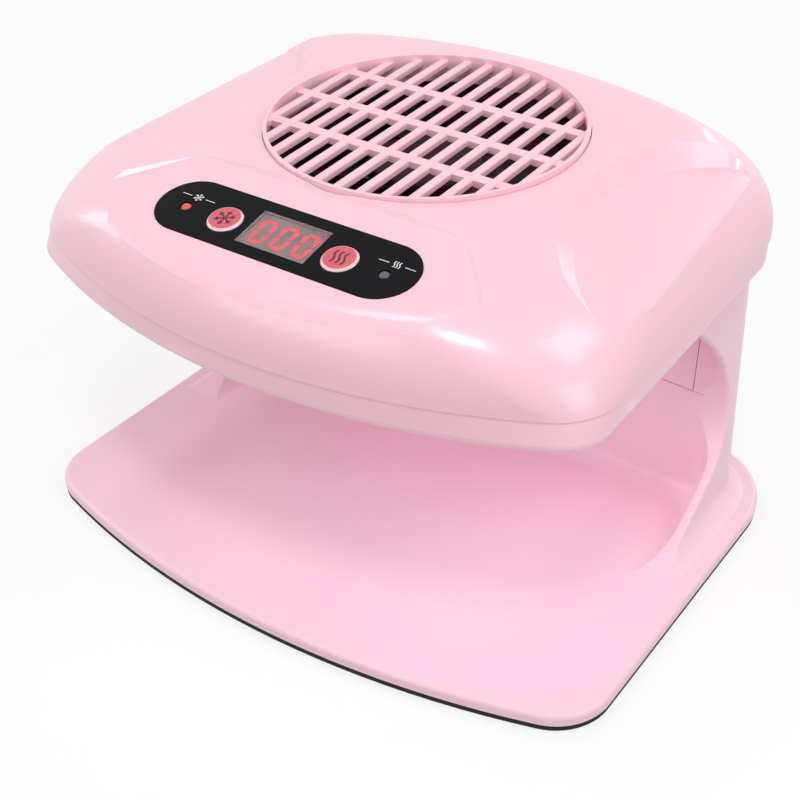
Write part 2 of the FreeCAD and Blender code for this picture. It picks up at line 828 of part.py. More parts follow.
def panel_holes(grow, low, high):
    """Holes for the buttons, the indicator lamps and the display window, in the panel's frame."""
    holes, up = [], -dim("control_drop")
    for side in (-1, 1):
        holes.append(disc(dim("button_diameter") / 2 + dim("button_gap") + grow, high - low,
                          Vector(side * dim("button_spacing") / 2, up, low)))
        holes.append(disc(dim("lamp_diameter") / 2 + dim("lamp_fit") + grow, high - low,
                          Vector(side * dim("lamp_spacing") / 2, up, low)))
    holes.append(block(dim("window_width") + 2 * grow, dim("window_depth") + 2 * grow, high - low,
                       Vector(0, 0, low)))
    return Part.makeCompound(holes)


def intake_hole(grow, low, high):
    hole = disc(dim("grille_diameter") / 2 + grow, high - low, Vector(0, 0, low))
    hole.Placement = grille_frame
    return hole


def upper_shell():
    """Moulded top cover with the intake opening, control recess and side scoops."""
    outer, inner = head_form(0, parting), head_form(wall, parting - wall / 2)
    posts = [intake_hole(wall, -dim("grille_depth") - wall, 0)]
    for x, y in head_screw_places():
        post = disc(dim("boss_diameter") / 2, dim("head_post_height"), Vector(x, y, parting))
        posts.append(post.cut(disc(dim("screw_diameter") / 2, dim("pilot_depth"), Vector(x, y, parting))))
    for across, up in board_post_places():
        post = disc(dim("board_post_diameter") / 2, dim("board_drop") - wall / 2,
                    Vector(across, up, -dim("board_drop")))
        post.Placement = panel_frame
        posts.append(post)
    inside = posts[0].fuse(posts[1:]).common(outer)
    seat = prism(overlay_outline(dim("overlay_fit"), -dim("overlay_sink")), past)
    holes = panel_holes(0.0, -2 * wall, past)
    for tool in (seat, holes):
        tool.Placement = panel_frame
    openings = [intake_hole(dim("grille_fit"), -dim("grille_depth"), past),
                intake_hole(-dim("grille_seat"), -dim("grille_depth") - 2 * wall, past), seat, holes]
    feature("upper_shell", outer.cut(inner).fuse(inside).cut(openings))


def head_screw_places():
    front, rear = dim("head_screw_front_across"), dim("head_screw_rear_across")
    return [(side * across, y) for side in (-1, 1)
            for across, y in ((front, -dim("head_screw_front")), (rear, dim("head_screw_rear")))]


def board_post_places():
    return [(side * (dim("board_length") / 2 - dim("board_hole_inset")), 0.0) for side in (-1, 1)]


def fan_post_places():
    half = dim("fan_hole_pitch") / 2
    return [(across * half, axis_y + along * half) for across in (-1, 1) for along in (-1, 1)]


def lamp_places():
    """Lamps on an arc round the outlet, open towards the column."""
    radius, last = dim("lamp_ring_radius"), dim_count("lamp_count") - 1
    first = -90 - dim("lamp_sweep") / 2
    angles = [math.radians(first + dim("lamp_sweep") * i / last) for i in range(last + 1)]
    return [(radius * math.cos(angle), axis_y + radius * math.sin(angle)) for angle in angles]


def lower_shell():
    """Bottom tray of the head: band, floor with the outlet opening, lamp holes and fan posts."""
    step = dim("band_step")
    ends = [band_outline(underside), head_outline(parting, step)]
    band = Part.makeLoft(ends, True, True)
    edge_below = edges_where(band, lambda edge: highest(edge) < underside + 0.01)
    band = band.makeFillet(dim("band_round"), edge_below)
    floor = underside + wall
    shell = band.cut(prism(head_outline(floor, step + wall), parting))
    for x, y in fan_post_places():
        shell = shell.fuse(disc(dim("boss_diameter") / 2, dim("fan_bottom") - floor, Vector(x, y, floor)))
        shell = shell.cut(disc(dim("screw_diameter") / 2, dim("fan_screw_depth"),
                               Vector(x, y, dim("fan_bottom") - dim("fan_screw_depth"))))
    hole = dim("screw_diameter") / 2 + dim("screw_clearance")
    pocket_radius = dim("screw_head") / 2 + dim("screw_clearance")
    for x, y in head_screw_places():
        shell = shell.fuse(disc(dim("boss_diameter") / 2, parting - floor, Vector(x, y, floor)))
        shell = shell.cut(disc(hole, past, Vector(x, y, underside)))
        shell = shell.cut(disc(pocket_radius, dim("head_screw_seat"), Vector(x, y, underside)))
    centre = Vector(0, axis_y, underside - 1)
    shell = shell.cut(disc(dim("outlet_diameter") / 2 - dim("outlet_ledge"), past, centre))
    shell = shell.cut(disc(dim("outlet_diameter") / 2 + dim("outlet_fit"), 1 + dim("outlet_seat"), centre))
    for x, y in lamp_places():
        shell = shell.cut(disc(dim("diode_diameter") / 2 + dim("piece_gap"), past, Vector(x, y, underside - 1)))
    shell = shell.cut(block(dim("cable_slot_width"), dim("cable_slot_depth"), past,
                            Vector(0, dim("column_rear") - dim("cable_slot_inset"), underside - 1)))
    feature("lower_shell", shell)


# ---------------------------------------------------------------- intake grille
def intake_grille():
    """Round insert: a rim with slats running front to back over three deeper cross bars."""
    radius = dim("grille_diameter") / 2
    depth = dim("grille_depth")
    bottom = Vector(0, 0, -depth)
    grille = disc(radius, depth, bottom).cut(disc(radius - dim("grille_rim"), depth, bottom))
    inside = disc(radius - dim("grille_rim") / 2, depth, bottom)
    slat_top = dim("slat_sink")
    middle = (dim_count("slat_count") - 1) / 2
    for i in range(dim_count("slat_count")):
        x = (i - middle) * dim("slat_pitch")
        slat = block(dim("slat_width"), 2 * radius, dim("slat_depth"),
                     Vector(x, 0, -slat_top - dim("slat_depth")))
        slat = slat.makeFillet(dim("slat_round"), edges_where(
            slat, lambda edge: lowest(edge) > -slat_top - 0.01 and edge.BoundBox.YLength > past))
        grille = grille.fuse(slat.common(inside))
    middle = (dim_count("bar_count") - 1) / 2
    for i in range(dim_count("bar_count")):
        y = (i - middle) * dim("bar_pitch")
        bar = block(2 * radius, dim("bar_width"), dim("bar_depth"),
                    Vector(0, y, -dim("bar_sink") - dim("bar_depth")))
        grille = grille.fuse(bar.common(inside))
    feature("intake_grille", grille.removeSplitter(), grille_frame)


# ---------------------------------------------------------------- fan
def fan_frame():
    """Square-flanged fan frame with its bore, four screw holes and the struts that carry the motor."""
    body = new_body("fan_frame", Placement(Vector(0, axis_y, dim("fan_bottom")), Rotation()))
    plate = new_sketch(body, "flange_outline")
    rectangle(plate, "{fan_frame_size}", "{fan_frame_size}")
    round_edges(body, pad(body, plate, "{fan_height}"), "{fan_corner}", is_upright)
    bore = new_sketch(body, "bore_outline")
    circle(bore, "{fan_bore} / 2")
    pocket(body, bore, "{fan_height}", "Bore")
    struts = new_sketch(body, "strut_outline")
    rectangle(struts, "{fan_bore} + 2 * {strut_root}", "{strut_width}")
    pad(body, struts, "{strut_thickness}", "StrutAcross")
    posts = new_sketch(body, "strut_along_outline")
    rectangle(posts, "{strut_width}", "{fan_bore} + 2 * {strut_root}")
    pad(body, posts, "{strut_thickness}", "StrutAlong")
    seat = new_sketch(body, "motor_seat_outline")
    circle(seat, "{motor_diameter} / 2 + {motor_seat_margin}")
    pad(body, seat, "{strut_thickness}", "MotorSeat")
    holes = new_sketch(body, "screw_hole_outline")
    for across in ("", "-"):
        for along in ("", "-"):
            circle(holes, "{screw_diameter} / 2 + {screw_clearance}", across + "{fan_hole_pitch} / 2",
                   along + "{fan_hole_pitch} / 2")
    pocket(body, holes, "{fan_height}", "ScrewHoles")


def fan_motor():
    """Motor can on the strut seat, with the bearing bore for the impeller's shaft."""
    bore, side_wall = "{shaft_diameter} / 2 + {shaft_running_gap}", "{motor_diameter} / 2"
    foot, top = "{strut_thickness}", "{strut_thickness} + {motor_height}"
    profile = [(bore, foot), (side_wall, foot), (side_wall, top + " - {motor_bevel}"),
               (side_wall + " - {motor_bevel}", top), (bore, top)]
    turned("fan_motor", profile, Placement(Vector(0, axis_y, dim("fan_bottom")), Rotation()))


def blade(angle):
    """One twisted fan blade between the hub and the tip circle."""
    inner, tip = (dim("hub_diameter") - dim("hub_wall")) / 2, dim("fan_bore") / 2 - dim("blade_tip_gap")
    low, high = dim("blade_low"), dim("blade_high")
    sections = []
    middle, root = (low + high) / 2, dim("blade_pitch")
    sweep, twist = dim("blade_sweep"), dim("blade_twist")
    stations = ((inner, 0.0, root), ((inner + tip) / 2, 0.4 * sweep, root - 0.55 * twist),
                (tip, sweep, root - twist))
    for radius, lag, pitch in stations:
        chord = min((high - low) / math.sin(math.radians(pitch)), dim("blade_chord"))
        half = chord / 2
        thick = dim("blade_thickness") / 2
        points = [Vector(0, -half, 0), Vector(thick, -half / 3, 0), Vector(thick, half / 3, 0),
                  Vector(0, half, 0), Vector(-thick, half / 3, 0), Vector(-thick, -half / 3, 0),
                  Vector(0, -half, 0)]
        turn = Rotation(Vector(0, 0, 1), lag)
        section = []
        for point in points:
            tilted = Rotation(Vector(1, 0, 0), pitch).multVec(Vector(0, point.y, point.x))
            section.append(turn.multVec(Vector(radius, tilted.y, middle + tilted.z)))
        sections.append(Part.makePolygon(section))
    shape = Part.makeLoft(sections, True, True)
    shape.rotate(Vector(0, 0, 0), Vector(0, 0, 1), angle)
    return shape


def fan_impeller():
    """Hub cup over the motor, the blades round it and the shaft that runs in the motor's bore."""
    radius, hub_wall = dim("hub_diameter") / 2, dim("hub_wall")
    low, high = dim("hub_low"), dim("fan_height") - 1
    foot = Vector(0, 0, low)
    hub = disc(radius, high - low, foot).cut(disc(radius - hub_wall, high - low - hub_wall, foot))
    hub = hub.makeFillet(hub_wall, edges_where(hub, lambda edge: lowest(edge) > high - 0.01))
    end = dim("strut_thickness") + dim("piece_gap")
    shaft = disc(dim("shaft_diameter") / 2, high - hub_wall / 2 - end, Vector(0, 0, end))
    shape = hub.fuse(shaft)
    count = dim_count("blade_count")
    cup = disc(radius - hub_wall / 4, 2 * dim("fan_height"), Vector(0, 0, -dim("fan_height") / 2))
    for i in range(count):
        shape = shape.fuse(blade(360.0 * i / count).cut(cup))
    tip = disc(dim("fan_bore") / 2 - dim("blade_tip_gap"), dim("fan_height"), Vector(0, 0, 0))
    feature("fan_impeller", shape.common(tip), Placement(Vector(0, axis_y, dim("fan_bottom")), Rotation()))


# ---------------------------------------------------------------- outlet, heater and lamps
def outlet_grille():
    """Round guard under the head: concentric rings joined by spokes."""
    radius, height = dim("outlet_diameter") / 2, dim("outlet_thickness")
    low = underside + dim("outlet_seat") - height
    centre = Vector(0, axis_y, low)
    wire = dim("outlet_wire")
    inside = radius - dim("outlet_rim")
    grille = disc(radius, height, centre).cut(disc(inside, height, centre))
    ring = inside - dim("outlet_ring_pitch") + wire
    while ring > dim("outlet_ring_pitch"):
        grille = grille.fuse(disc(ring, height, centre).cut(disc(ring - wire, height, centre)))
        ring -= dim("outlet_ring_pitch")
    grille = grille.fuse(disc(dim("outlet_ring_pitch") / 2, height, centre))
    for turn in range(dim_count("spoke_count")):
        spoke = block(radius + inside, wire, height, centre)
        spoke.rotate(centre, Vector(0, 0, 1), 180.0 * turn / dim_count("spoke_count"))
        grille = grille.fuse(spoke)
    feature("outlet_grille", grille.removeSplitter())


def heater():
    """Crossed mica plates on the floor and the three rings of resistance coil held in their slots."""
    level = underside + wall
    reach, height, section = dim("heater_reach"), dim("heater_height"), dim("coil_section") / 2
    centre = Vector(0, axis_y, level)
    plates = block(2 * reach, dim("heater_plate"), height, centre)
    plates = plates.fuse(block(dim("heater_plate"), 2 * reach, height, centre))
    coils = []
    for i in range(dim_count("coil_count")):
        radius = dim("coil_radius") - i * dim("coil_pitch")
        middle = Vector(0, axis_y, level + height / 2)
        coils.append(Part.makeTorus(radius, section, middle))
        plates = plates.cut(Part.makeTorus(radius, section + dim("coil_fit"), middle))
    feature("heater_frame", plates)
    group("heater_coil", coils)


def lamp_ring():
    """C-shaped board on the lower shell's floor and the lamps that look down through it."""
    level = underside + wall
    centre, thick = Vector(0, axis_y, level), dim("board_thickness")
    middle, half = dim("lamp_ring_radius"), dim("lamp_board_half")
    inner, outer = middle - half, middle + half
    board = disc(outer, thick, centre).cut(disc(inner, thick, centre))
    rear = max(y for x, y in lamp_places()) + half
    board = board.common(Part.makeBox(span, span, span, Vector(-span / 2, rear - span, 0)))
    radius = dim("diode_diameter") / 2
    dome = underside - dim("diode_proud") + radius
    diodes = []
    for x, y in lamp_places():
        tip = Part.makeSphere(radius, Vector(x, y, dome), Vector(0, 0, 1), -90, 0, 360)
        diodes.append(tip.fuse(disc(radius, level - dome, Vector(x, y, dome))))
    feature("lamp_board", board)
    group("lamp_diodes", diodes)


# ---------------------------------------------------------------- control panel pieces
def control_overlay():
    """Thin stadium plate on the control slope, pierced for the buttons, lamps and window."""
    plate = prism(overlay_outline(0, -dim("overlay_sink")), dim("overlay_thickness"))
    feature("control_overlay", plate.cut(panel_holes(0.0, -past, past)), panel_frame)


def button(label, side):
    """Round cap with a retaining flange behind the shell and a stem towards its switch."""
    centre = Vector(side * dim("button_spacing") / 2, -dim("control_drop"), 0)
    place = panel_frame.multiply(Placement(centre, Rotation()))
    top = "{overlay_thickness} - {overlay_sink} + {button_proud}"
    under = "-{wall} - {button_gap}"
    foot = "-{wall} - {button_gap} - {flange_thickness}"
    stem = "-{board_drop} + {switch_height} + {button_travel} + {button_gap}"
    edge, rim, core = "{button_diameter} / 2", "{button_diameter} / 2 + {flange_step}", "{stem_diameter} / 2"
    profile = [("0", top), (edge + " - {button_bevel}", top), (edge, top + " - {button_bevel}"), (edge, under),
               (rim, under), (rim, foot), (core, foot), (core, stem), ("0", stem)]
    turned(label, profile, place)


def board_frame(across=0.0, up=0.0, out=0.0):
    return panel_frame.multiply(Placement(Vector(across, up, out - dim("board_drop")), Rotation()))


def control_board():
    """Printed board parallel to the panel, screwed to the posts of the upper shell."""
    body = new_body("control_board", board_frame(out=-dim("board_thickness")))
    outline = new_sketch(body, "board_outline")
    rectangle(outline, "{board_length}", "{board_width}")
    sheet_pad = pad(body, outline, "{board_thickness}")
    round_edges(body, sheet_pad, "{board_corner}", is_upright)
    holes = new_sketch(body, "board_holes")
    for sign in ("", "-"):
        circle(holes, "{board_hole_diameter} / 2", sign + "({board_length} / 2 - {board_hole_inset})")
    pocket(body, holes, "{board_thickness}")


def tact_switch(label, side):
    body = new_body(label, board_frame(side * dim("button_spacing") / 2, -dim("control_drop")))
    case = new_sketch(body, label + "_case")
    rectangle(case, "{switch_width}", "{switch_width}")
    pad(body, case, "{switch_height} - {plunger_height}")
    plunger = new_sketch(body, label + "_plunger", level="{switch_height} - {plunger_height}")
    circle(plunger, "{plunger_diameter} / 2")
    pad(body, plunger, "{plunger_height}", "Plunger")


def digit_display():
    """Three-digit display block on the board."""
    body = new_body("digit_display", board_frame())
    outline = new_sketch(body, "display_outline")
    rectangle(outline, "{window_width} - {display_margin}", "{window_depth} - {display_margin}")
    pad(body, outline, "{board_drop} - {overlay_sink} - {window_glass} - {window_air}")


def display_window():
    """Clear window let into the overlay over the digits."""
    body = new_body("display_window", panel_frame)
    outline = new_sketch(body, "window_outline", level="-{overlay_sink} - {window_glass}")
    rectangle(outline, "{window_width} - {window_fit}", "{window_depth} - {window_fit}")
    pad(body, outline, "{overlay_thickness} + {window_glass} - {window_fit}")


def indicator(label, side):
    """Indicator lamp: collar on the board, straight body and domed tip."""
    place = board_frame(side * dim("lamp_spacing") / 2, -dim("control_drop"))
    top = "{board_drop} - {overlay_sink} + {overlay_thickness}"
    side_wall, collar = "{lamp_diameter} / 2", "{lamp_diameter} / 2 + {lamp_collar}"
    profile = [("0", "0"), (collar, "0"), (collar, "{lamp_collar_height}"), (side_wall, "{lamp_collar_height}"),
               (side_wall, top + " - {lamp_bevel}"), (side_wall + " - {lamp_bevel}", top), ("0", top)]
    turned(label, profile, place)


# ---------------------------------------------------------------- power pieces
def inlet_place():
    """Middle of the inlet's flat seat, let into the bowed rear wall."""
    bow, across = dim("base_rear_bow"), dim("inlet_offset") + dim("inlet_width") / 2
    seat = dim("column_rear") - bow + math.sqrt(bow ** 2 - across ** 2)
    return Vector(dim("inlet_offset"), seat, dim("inlet_level"))


def inlet_opening():
    """Opening in the column's rear wall for the mains inlet, with the flat seat for its flange."""
    at, inset = inlet_place(), dim("inlet_inset")
    width, height, gap = dim("inlet_width"), dim("inlet_height"), dim("piece_gap")
    hole = block(width - 2 * inset, 2 * past, height - 2 * inset, Vector(at.x, at.y, at.z - height / 2 + inset))
    seat = block(width + gap, past, height + gap, Vector(at.x, at.y + past / 2, at.z - (height + gap) / 2))
    return hole.fuse(seat)


def socket_shape(width, height, depth, at):
    """Figure-of-eight socket cavity, opening to the rear."""
    radius = height / 2
    reach = width / 2 - radius
    parts = [Part.makeCylinder(radius, depth, Vector(at.x + side * reach, at.y, at.z), Vector(0, 1, 0))
             for side in (-1, 1)]
    waist = radius - dim("socket_waist")
    bridge = block(2 * reach, depth, 2 * waist, Vector(at.x, at.y + depth / 2, at.z - waist))
    return parts[0].fuse(parts[1]).fuse(bridge)


def mains_inlet():
    """Two-pole mains inlet: flange outside the rear wall, body inside, figure-of-eight socket."""
    at = inlet_place()
    flange = block(dim("inlet_width"), dim("inlet_flange"), dim("inlet_height"),
                   Vector(at.x, at.y + dim("inlet_flange") / 2, at.z - dim("inlet_height") / 2))
    corners = edges_where(flange, lambda edge: edge.BoundBox.YLength > dim("inlet_flange") / 2)
    flange = flange.makeFillet(dim("inlet_inset"), corners)
    depth = dim("inlet_depth")
    inset = dim("inlet_inset") + dim("inlet_fit")
    core = block(dim("inlet_width") - 2 * inset, depth, dim("inlet_height") - 2 * inset,
                 Vector(at.x, at.y - depth / 2, at.z - dim("inlet_height") / 2 + inset))
    socket = dim("socket_depth")
    cavity = socket_shape(dim("socket_width"), dim("socket_height"), socket + dim("inlet_flange"),
                          Vector(at.x, at.y - socket, at.z))
    feature("mains_inlet", flange.fuse(core).cut(cavity))
    pins = []
    for side in (-1, 1):
        root = Vector(at.x + side * dim("pin_spacing") / 2, at.y - socket, at.z)
        pins.append(Part.makeCylinder(dim("pin_diameter") / 2, socket - 1, root, Vector(0, 1, 0)))
    group("inlet_pins", pins)


def power_board():
    """Upright board in the column with its transformer, capacitors, fuse and terminals."""
    thick = dim("board_thickness")
    y = inner_wall + dim("board_standoff")
    low = dim("power_board_low")
    centre = Vector(-dim("power_board_offset"), y + thick / 2, low)
    board = block(dim("power_board_width"), thick, dim("power_board_height"), centre)
    posts = []
    inset = dim("standoff_inset")
    for side in (-1, 1):
        for level in (inset, dim("power_board_height") - inset):
            at = Vector(centre.x + side * (dim("power_board_width") / 2 - inset), inner_wall, low + level)
            posts.append(Part.makeCylinder(dim("standoff_diameter") / 2, dim("board_standoff"), at,
                                           Vector(0, 1, 0)))
    feature("power_board", board)
    group("board_standoffs", posts)
    corner = Vector(centre.x, y + thick, low)

    def box_on_board(across, up, size):
        return block(size.x, size.y, size.z, corner + Vector(across, size.y / 2, up))

    feature("transformer", box_on_board(*transformer_core).fuse(box_on_board(*transformer_winding)))
    parts = [Part.makeCylinder(radius, length, corner + Vector(across, 0, up), Vector(0, 1, 0))
             for across, up, radius, length in capacitors]
    parts += [box_on_board(*place) for place in board_blocks]
    across, up, radius, length = board_fuse
    parts.append(Part.makeCylinder(radius, length, corner + Vector(across, radius, up), Vector(1, 0, 0)))
    group("power_components", parts)


def screws(label, places, seat, length):
    """Pan-head screws pointing up, their heads bearing on the given level from below."""
    thick, shank = dim("screw_head_height"), dim("screw_diameter") / 2 - dim("thread_fit")
    shapes = []
    for x, y in places:
        head = disc(dim("screw_head") / 2, thick, Vector(x, y, seat - thick))
        shapes.append(head.fuse(disc(shank, length, Vector(x, y, seat))))
    group(label, shapes)


# ---------------------------------------------------------------- assembly
base_plate()
feet()
base_shell()
column_panel()
lower_shell()
upper_shell()
intake_grille()
fan_frame()
fan_motor()
fan_impeller()
outlet_grille()
heater()
lamp_ring()
control_overlay()
button("cold_button", -1)
button("hot_button", 1)
control_board()
tact_switch("cold_switch", -1)
tact_switch("hot_switch", 1)
digit_display()
display_window()
indicator("indicator_left", -1)
indicator("indicator_right", 1)
mains_inlet()
power_board()
screws("base_screws", base_screw_places(), base_bottom, dim("base_screw_length"))
screws("head_screws", head_screw_places(), underside + dim("head_screw_seat"), dim("head_screw_length"))

doc.recompute()

# ---------------------------------------------------------------- checks and export
for item in doc.Objects:
    if "Invalid" in item.State or "Error" in item.State:
        raise RuntimeError("%s did not compute: %s" % (item.Label, item.State))

for item in doc.Objects:
    if item.TypeId not in ("PartDesign::Body", "Part::Feature"):
        continue
    shape = item.Shape
    if shape.isNull() or not shape.isValid():
        raise RuntimeError("%s has no valid shape" % item.Label)
    shape.exportStep("parts/%s.step" % item.Label)
    print("%-18s solids %2d volume %9.1f" % (item.Label, len(shape.Solids), shape.Volume))
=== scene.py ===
import math

import bmesh
import bpy
from mathutils import Matrix, Vector


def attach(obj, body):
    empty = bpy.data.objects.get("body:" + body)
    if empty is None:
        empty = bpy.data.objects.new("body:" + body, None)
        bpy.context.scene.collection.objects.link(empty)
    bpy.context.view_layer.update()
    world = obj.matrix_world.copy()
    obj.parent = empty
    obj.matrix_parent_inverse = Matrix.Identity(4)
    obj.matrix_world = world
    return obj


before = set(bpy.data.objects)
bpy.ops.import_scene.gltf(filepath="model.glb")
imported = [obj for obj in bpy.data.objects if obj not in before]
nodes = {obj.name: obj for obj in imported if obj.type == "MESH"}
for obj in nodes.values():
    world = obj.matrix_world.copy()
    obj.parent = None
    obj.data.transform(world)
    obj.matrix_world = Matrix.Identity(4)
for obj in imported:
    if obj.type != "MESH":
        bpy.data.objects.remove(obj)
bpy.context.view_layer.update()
print("frame loaded,", len(nodes), "nodes")


# node tools that every finish uses
def feed(tree, socket, value):
    if isinstance(value, bpy.types.NodeSocket):
        tree.links.new(value, socket)
    elif socket.type == "RGBA":
        socket.default_value = (*value, 1)
    else:
        socket.default_value = value


def feedAll(tree, node, values):
    for label, value in values.items():
        feed(tree, node.inputs[label], value)


def newMaterial(name, settings):
    material = bpy.data.materials.new(name)
    material.use_nodes = True
    tree = material.node_tree
    shader = tree.nodes["Principled BSDF"]
    feedAll(tree, shader, settings)
    return material, tree, shader


def objectPlace(tree, location=(0, 0, 0), turn=(0, 0, 0)):
    place = tree.nodes.new("ShaderNodeTexCoord")
    mapping = tree.nodes.new("ShaderNodeMapping")
    mapping.inputs["Location"].default_value = location
    mapping.inputs["Rotation"].default_value = turn
    tree.links.new(place.outputs["Object"], mapping.inputs["Vector"])
    return mapping.outputs["Vector"]


def newGroup(name, inputs, outputs):
    group = bpy.data.node_groups.new(name, "ShaderNodeTree")
    for label, kind, value in inputs:
        socket = group.interface.new_socket(label, in_out="INPUT", socket_type=kind)
        if value is not None:
            socket.default_value = value
    for label, kind in outputs:
        group.interface.new_socket(label, in_out="OUTPUT", socket_type=kind)
    return group, group.nodes.new("NodeGroupInput"), group.nodes.new("NodeGroupOutput")


def useGroup(tree, group, values):
    node = tree.nodes.new("ShaderNodeGroup")
    node.node_tree = group
    feedAll(tree, node, values)
    return node


def addNoise(tree, vector, scale, detail=2.0, rough=0.5):
    noise = tree.nodes.new("ShaderNodeTexNoise")
    feedAll(tree, noise, {"Vector": vector, "Scale": scale, "Detail": detail, "Roughness": rough})
    return noise.outputs["Fac"]


def addMath(tree, operation, first, second=0.5, clamp=False):
    node = tree.nodes.new("ShaderNodeMath")
    node.operation = operation
    node.use_clamp = clamp
    feedAll(tree, node, {0: first, 1: second})
    return node.outputs[0]


def addRange(tree, value, low, high, toLow=0.0, toHigh=1.0):
    node = tree.nodes.new("ShaderNodeMapRange")
    feedAll(tree, node, {
        "Value": value, "From Min": low, "From Max": high, "To Min": toLow, "To Max": toHigh})
    return node.outputs["Result"]


def mixColours(tree, amount, first, second):
    node = tree.nodes.new("ShaderNodeMix")
    node.data_type = "RGBA"
    tree.links.new(amount, node.inputs["Factor"])
    for label, value in (("A", first), ("B", second)):
        feed(tree, [s for s in node.inputs if s.name == label and s.type == "RGBA"][0], value)
    return [s for s in node.outputs if s.type == "RGBA"][0]


def addBump(tree, shader, height, strength, depth=0.0001):
    bump = tree.nodes.new("ShaderNodeBump")
    feedAll(tree, bump, {"Strength": strength, "Distance": depth, "Height": height})
    tree.links.new(bump.outputs["Normal"], shader.inputs["Normal"])


# moulded plastic: slow colour drift, a fine skin and the odd dull patch from handling
skinPattern = dict(driftDetail=3, driftFrom=0.3, driftTo=0.7, patchDetail=4, patchRough=0.62,
                   patchFrom=0.45, patchTo=0.75, grainDetail=2)


def makeMouldedGroup():
    group, given, made = newGroup("mouldedSkin", [
        ("Place", "NodeSocketVector", None),
        ("Colour", "NodeSocketColor", (0.8, 0.8, 0.8, 1)),
        ("Drift Colour", "NodeSocketColor", (0.7, 0.7, 0.7, 1)),
        ("Drift Scale", "NodeSocketFloat", 14.0),
        ("Skin Scale", "NodeSocketFloat", 900.0),
        ("Roughness", "NodeSocketFloat", 0.3),
        ("Dull Scale", "NodeSocketFloat", 45.0),
        ("Dull Amount", "NodeSocketFloat", 0.08),
    ], [("Colour", "NodeSocketColor"), ("Roughness", "NodeSocketFloat"), ("Height", "NodeSocketFloat")])
    place = given.outputs["Place"]
    wander = addNoise(group, place, given.outputs["Drift Scale"], skinPattern["driftDetail"])
    drift = addRange(group, wander, skinPattern["driftFrom"], skinPattern["driftTo"])
    colour = mixColours(group, drift, given.outputs["Colour"], given.outputs["Drift Colour"])
    patches = addNoise(group, place, given.outputs["Dull Scale"], skinPattern["patchDetail"],
                       skinPattern["patchRough"])
    worn = addRange(group, patches, skinPattern["patchFrom"], skinPattern["patchTo"])
    dull = addMath(group, "MULTIPLY", worn, given.outputs["Dull Amount"])
    rough = addMath(group, "ADD", given.outputs["Roughness"], dull, clamp=True)
    grain = addNoise(group, place, given.outputs["Skin Scale"], skinPattern["grainDetail"])
    feedAll(group, made, {"Colour": colour, "Roughness": rough, "Height": grain})
    return group


# drawn or turned metal: fine lines along one axis over a slow tone change
linePattern = dict(stretch=(1, 1, 0.05), lineDetail=3, lineRough=0.7, lineFrom=0.3, lineTo=0.7,
                   toneScale=120, toneDetail=3, toneFrom=0.35, toneTo=0.65, toneLeast=0.5,
                   spreadFrom=0.2, spreadTo=0.8, smoothest=-0.06, roughest=0.1)


def makeMetalGroup():
    group, given, made = newGroup("drawnMetal", [
        ("Place", "NodeSocketVector", None),
        ("Colour", "NodeSocketColor", (0.6, 0.6, 0.6, 1)),
        ("Dark Colour", "NodeSocketColor", (0.35, 0.35, 0.35, 1)),
        ("Line Scale", "NodeSocketFloat", 900.0),
        ("Roughness", "NodeSocketFloat", 0.3),
    ], [("Colour", "NodeSocketColor"), ("Roughness", "NodeSocketFloat"), ("Height", "NodeSocketFloat")])
    place = given.outputs["Place"]
    stretch = group.nodes.new("ShaderNodeVectorMath")
    stretch.operation = "MULTIPLY"
    feedAll(group, stretch, {0: place, 1: linePattern["stretch"]})
    lines = addNoise(group, stretch.outputs[0], given.outputs["Line Scale"], linePattern["lineDetail"],
                     linePattern["lineRough"])
    tone = addNoise(group, place, linePattern["toneScale"], linePattern["toneDetail"])
    streaks = addRange(group, lines, linePattern["lineFrom"], linePattern["lineTo"])
    shade = addRange(group, tone, linePattern["toneFrom"], linePattern["toneTo"], linePattern["toneLeast"])
    blend = addMath(group, "MULTIPLY", streaks, shade)
    colour = mixColours(group, blend, given.outputs["Colour"], given.outputs["Dark Colour"])
    spread = addRange(group, lines, linePattern["spreadFrom"], linePattern["spreadTo"],
                      linePattern["smoothest"], linePattern["roughest"])
    rough = addMath(group, "ADD", given.outputs["Roughness"], spread, clamp=True)
    feedAll(group, made, {"Colour": colour, "Roughness": rough, "Height": lines})
    return group


mouldedSkin = makeMouldedGroup()
drawnMetal = makeMetalGroup()

# the look keys that set a socket of the moulded skin
skinSockets = dict(colour="Colour", drift="Drift Colour", driftScale="Drift Scale", skinScale="Skin Scale",
                   rough="Roughness", dullScale="Dull Scale", dull="Dull Amount")


def addSkin(tree, look):
    values = {socket: look[key] for key, socket in skinSockets.items() if key in look}
    return useGroup(tree, mouldedSkin, {"Place": objectPlace(tree), **values})


def linkFinish(tree, shader, colour, finish):
    feedAll(tree, shader, {"Base Color": colour, "Roughness": finish.outputs["Roughness"]})


# what a moulding or a metal has where its own look says nothing else
plainMoulding = dict(coat=0.0, coatRough=0.08, specular=0.5, driftScale=14.0, skinScale=900.0,
                     dullScale=45.0, dull=0.06, skin=0.1)
plainMetal = dict(lineScale=900.0, lines=0.15)


def mouldedMaterial(name, ownLook):
    look = {**plainMoulding, **ownLook}
    material, tree, shader = newMaterial(name, {
        "Coat Weight": look["coat"], "Coat Roughness": look["coatRough"],
        "Specular IOR Level": look["specular"]})
    skin = addSkin(tree, look)
    linkFinish(tree, shader, skin.outputs["Colour"], skin)
    addBump(tree, shader, skin.outputs["Height"], look["skin"])
    return material


